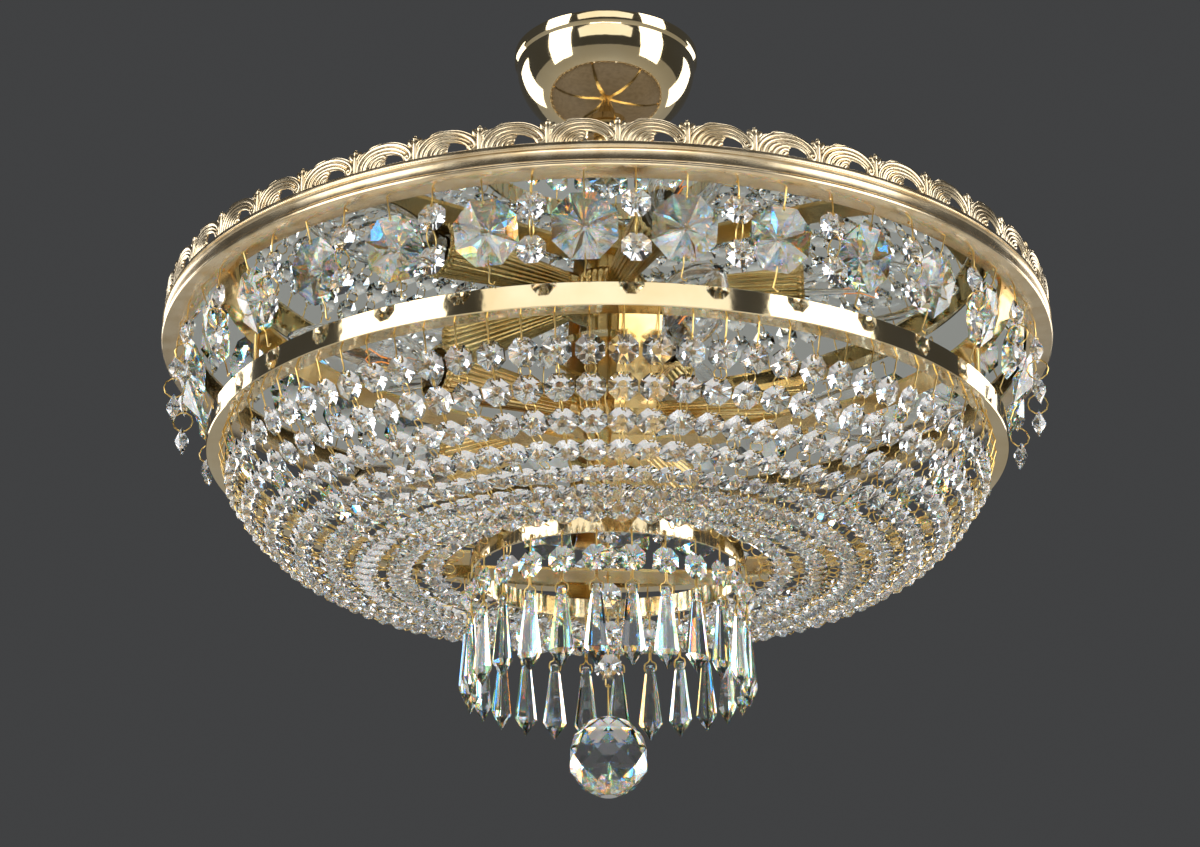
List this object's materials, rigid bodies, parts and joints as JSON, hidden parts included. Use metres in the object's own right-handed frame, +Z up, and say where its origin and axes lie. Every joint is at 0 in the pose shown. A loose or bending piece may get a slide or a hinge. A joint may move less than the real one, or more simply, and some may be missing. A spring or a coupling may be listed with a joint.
{
  "type": "crystal basket ceiling light",
  "caption": "Round brass ceiling light with a mirrored top ring, candle bulbs, a strung crystal basket, a fringe of drops and a faceted ball on a chain.",
  "frame": {"origin": "centre of the ceiling bracket's screw pattern, in the plane of the ceiling", "axes": "+Z up into the ceiling, -Y towards the front as pictured, +X to the right"},
  "size_m": [0.4799, 0.48, 0.4316],
  "materials": {
    "polished_brass": "polished",
    "satin_brass": "satin",
    "wire_brass": "polished",
    "zinc_steel": "satin",
    "nickel": "polished",
    "holder_plastic": "matte",
    "mirror_glass": "polished",
    "crystal": "cut and polished",
    "clear_glass": "clear",
    "filament": "glowing"
  },
  "bodies": {
    "frame": {"basket_links": "wire_brass", "basket_octagons_lower": "crystal", "basket_octagons_upper": "crystal", "basket_ribs": "satin_brass", "bulb_caps": "nickel", "bulb_filaments": "filament", "bulb_glasses": "clear_glass", "ceiling_bracket": "zinc_steel", "column_spacers": "satin_brass", "finial": "polished_brass", "frame_arms": "satin_brass", "gallery": "polished_brass", "lamp_hub": "satin_brass", "lamp_sleeves": "satin_brass", "lampholders": "holder_plastic", "middle_ring": "polished_brass", "mirror_clamp": "satin_brass", "mirror_disc": "mirror_glass", "mirror_dish": "polished_brass", "ring_hangers": "satin_brass", "skirt_octagons": "crystal", "skirt_pairs": "crystal", "skirt_wires": "wire_brass", "small_ring": "polished_brass", "stem_nuts": "zinc_steel", "stem_rod": "zinc_steel", "stem_tube": "satin_brass", "terminal_block": "holder_plastic", "top_ring": "polished_brass"},
    "canopy": {"canopy": "polished_brass", "canopy_collar": "polished_brass"},
    "chain": {"swing_chain": "crystal"},
    "ball": {"ball_hook": "wire_brass", "ball": "crystal"},
    "strand_01": {"fringe_strand_01": "crystal"},
    "strand_02": {"fringe_strand_02": "crystal"},
    "strand_03": {"fringe_strand_03": "crystal"},
    "strand_04": {"fringe_strand_04": "crystal"},
    "strand_05": {"fringe_strand_05": "crystal"},
    "strand_06": {"fringe_strand_06": "crystal"},
    "strand_07": {"fringe_strand_07": "crystal"},
    "strand_08": {"fringe_strand_08": "crystal"},
    "strand_09": {"fringe_strand_09": "crystal"},
    "strand_10": {"fringe_strand_10": "crystal"},
    "strand_11": {"fringe_strand_11": "crystal"},
    "strand_12": {"fringe_strand_12": "crystal"},
    "strand_13": {"fringe_strand_13": "crystal"},
    "strand_14": {"fringe_strand_14": "crystal"},
    "strand_15": {"fringe_strand_15": "crystal"},
    "strand_16": {"fringe_strand_16": "crystal"},
    "strand_17": {"fringe_strand_17": "crystal"},
    "strand_18": {"fringe_strand_18": "crystal"},
    "strand_19": {"fringe_strand_19": "crystal"},
    "strand_20": {"fringe_strand_20": "crystal"},
    "strand_21": {"fringe_strand_21": "crystal"},
    "strand_22": {"fringe_strand_22": "crystal"},
    "strand_23": {"fringe_strand_23": "crystal"},
    "strand_24": {"fringe_strand_24": "crystal"},
    "strand_25": {"fringe_strand_25": "crystal"},
    "strand_26": {"fringe_strand_26": "crystal"}
  },
  "joints": [
    {"name": "canopy_slide", "type": "slide", "parent": "frame", "child": "canopy", "axis": [0, 0, -1], "range_m": [0, 0.11]},
    {"name": "chain_swing", "type": "hinge", "parent": "frame", "child": "chain", "pos_m": [0, 0, -0.334], "axis": [1, 0, 0], "range_deg": [-12, 12]},
    {"name": "ball_swing", "type": "hinge", "parent": "chain", "child": "ball", "pos_m": [0, 0, -0.3729], "axis": [1, 0, 0], "range_deg": [-20, 20]},
    {"name": "strand_01_swing", "type": "hinge", "parent": "frame", "child": "strand_01", "pos_m": [-0.00547, -0.07154, -0.3114], "axis": [0.9971, -0.0763, 0], "range_deg": [-10, 10]},
    {"name": "strand_02_swing", "type": "hinge", "parent": "frame", "child": "strand_02", "pos_m": [0.01181, -0.07077, -0.3114], "axis": [0.9864, 0.1646, 0], "range_deg": [-10, 10]},
    {"name": "strand_03_swing", "type": "hinge", "parent": "frame", "child": "strand_03", "pos_m": [0.0284, -0.06589, -0.3114], "axis": [0.9183, 0.3959, 0], "range_deg": [-10, 10]},
    {"name": "strand_04_swing", "type": "hinge", "parent": "frame", "child": "strand_04", "pos_m": [0.04335, -0.05718, -0.3114], "axis": [0.7969, 0.6041, 0], "range_deg": [-10, 10]},
    {"name": "strand_05_swing", "type": "hinge", "parent": "frame", "child": "strand_05", "pos_m": [0.05577, -0.04514, -0.3114], "axis": [0.6292, 0.7773, 0], "range_deg": [-10, 10]},
    {"name": "strand_06_swing", "type": "hinge", "parent": "frame", "child": "strand_06", "pos_m": [0.06495, -0.03048, -0.3114], "axis": [0.4249, 0.9053, 0], "range_deg": [-10, 10]},
    {"name": "strand_07_swing", "type": "hinge", "parent": "frame", "child": "strand_07", "pos_m": [0.07036, -0.01405, -0.3114], "axis": [0.1959, 0.9806, 0], "range_deg": [-10, 10]},
    {"name": "strand_08_swing", "type": "hinge", "parent": "frame", "child": "strand_08", "pos_m": [0.07168, 0.00319, -0.3114], "axis": [-0.0445, 0.999, 0], "range_deg": [-10, 10]},
    {"name": "strand_09_swing", "type": "hinge", "parent": "frame", "child": "strand_09", "pos_m": [0.06883, 0.02025, -0.3114], "axis": [-0.2823, 0.9593, 0], "range_deg": [-10, 10]},
    {"name": "strand_10_swing", "type": "hinge", "parent": "frame", "child": "strand_10", "pos_m": [0.06198, 0.03614, -0.3114], "axis": [-0.5037, 0.8639, 0], "range_deg": [-10, 10]},
    {"name": "strand_11_swing", "type": "hinge", "parent": "frame", "child": "strand_11", "pos_m": [0.05154, 0.04992, -0.3114], "axis": [-0.6958, 0.7183, 0], "range_deg": [-10, 10]},
    {"name": "strand_12_swing", "type": "hinge", "parent": "frame", "child": "strand_12", "pos_m": [0.03809, 0.0608, -0.3114], "axis": [-0.8474, 0.5309, 0], "range_deg": [-10, 10]},
    {"name": "strand_13_swing", "type": "hinge", "parent": "frame", "child": "strand_13", "pos_m": [0.02243, 0.06815, -0.3114], "axis": [-0.9499, 0.3127, 0], "range_deg": [-10, 10]},
    {"name": "strand_14_swing", "type": "hinge", "parent": "frame", "child": "strand_14", "pos_m": [0.00547, 0.07154, -0.3114], "axis": [-0.9971, 0.0763, 0], "range_deg": [-10, 10]},
    {"name": "strand_15_swing", "type": "hinge", "parent": "frame", "child": "strand_15", "pos_m": [-0.01181, 0.07077, -0.3114], "axis": [-0.9864, -0.1646, 0], "range_deg": [-10, 10]},
    {"name": "strand_16_swing", "type": "hinge", "parent": "frame", "child": "strand_16", "pos_m": [-0.0284, 0.06589, -0.3114], "axis": [-0.9183, -0.3959, 0], "range_deg": [-10, 10]},
    {"name": "strand_17_swing", "type": "hinge", "parent": "frame", "child": "strand_17", "pos_m": [-0.04335, 0.05718, -0.3114], "axis": [-0.7969, -0.6041, 0], "range_deg": [-10, 10]},
    {"name": "strand_18_swing", "type": "hinge", "parent": "frame", "child": "strand_18", "pos_m": [-0.05577, 0.04514, -0.3114], "axis": [-0.6292, -0.7773, 0], "range_deg": [-10, 10]},
    {"name": "strand_19_swing", "type": "hinge", "parent": "frame", "child": "strand_19", "pos_m": [-0.06495, 0.03048, -0.3114], "axis": [-0.4249, -0.9053, 0], "range_deg": [-10, 10]},
    {"name": "strand_20_swing", "type": "hinge", "parent": "frame", "child": "strand_20", "pos_m": [-0.07036, 0.01405, -0.3114], "axis": [-0.1959, -0.9806, 0], "range_deg": [-10, 10]},
    {"name": "strand_21_swing", "type": "hinge", "parent": "frame", "child": "strand_21", "pos_m": [-0.07168, -0.00319, -0.3114], "axis": [0.0445, -0.999, 0], "range_deg": [-10, 10]},
    {"name": "strand_22_swing", "type": "hinge", "parent": "frame", "child": "strand_22", "pos_m": [-0.06883, -0.02025, -0.3114], "axis": [0.2823, -0.9593, 0], "range_deg": [-10, 10]},
    {"name": "strand_23_swing", "type": "hinge", "parent": "frame", "child": "strand_23", "pos_m": [-0.06198, -0.03614, -0.3114], "axis": [0.5037, -0.8639, 0], "range_deg": [-10, 10]},
    {"name": "strand_24_swing", "type": "hinge", "parent": "frame", "child": "strand_24", "pos_m": [-0.05154, -0.04992, -0.3114], "axis": [0.6958, -0.7183, 0], "range_deg": [-10, 10]},
    {"name": "strand_25_swing", "type": "hinge", "parent": "frame", "child": "strand_25", "pos_m": [-0.03809, -0.0608, -0.3114], "axis": [0.8474, -0.5309, 0], "range_deg": [-10, 10]},
    {"name": "strand_26_swing", "type": "hinge", "parent": "frame", "child": "strand_26", "pos_m": [-0.02243, -0.06815, -0.3114], "axis": [0.9499, -0.3127, 0], "range_deg": [-10, 10]}
  ]
}
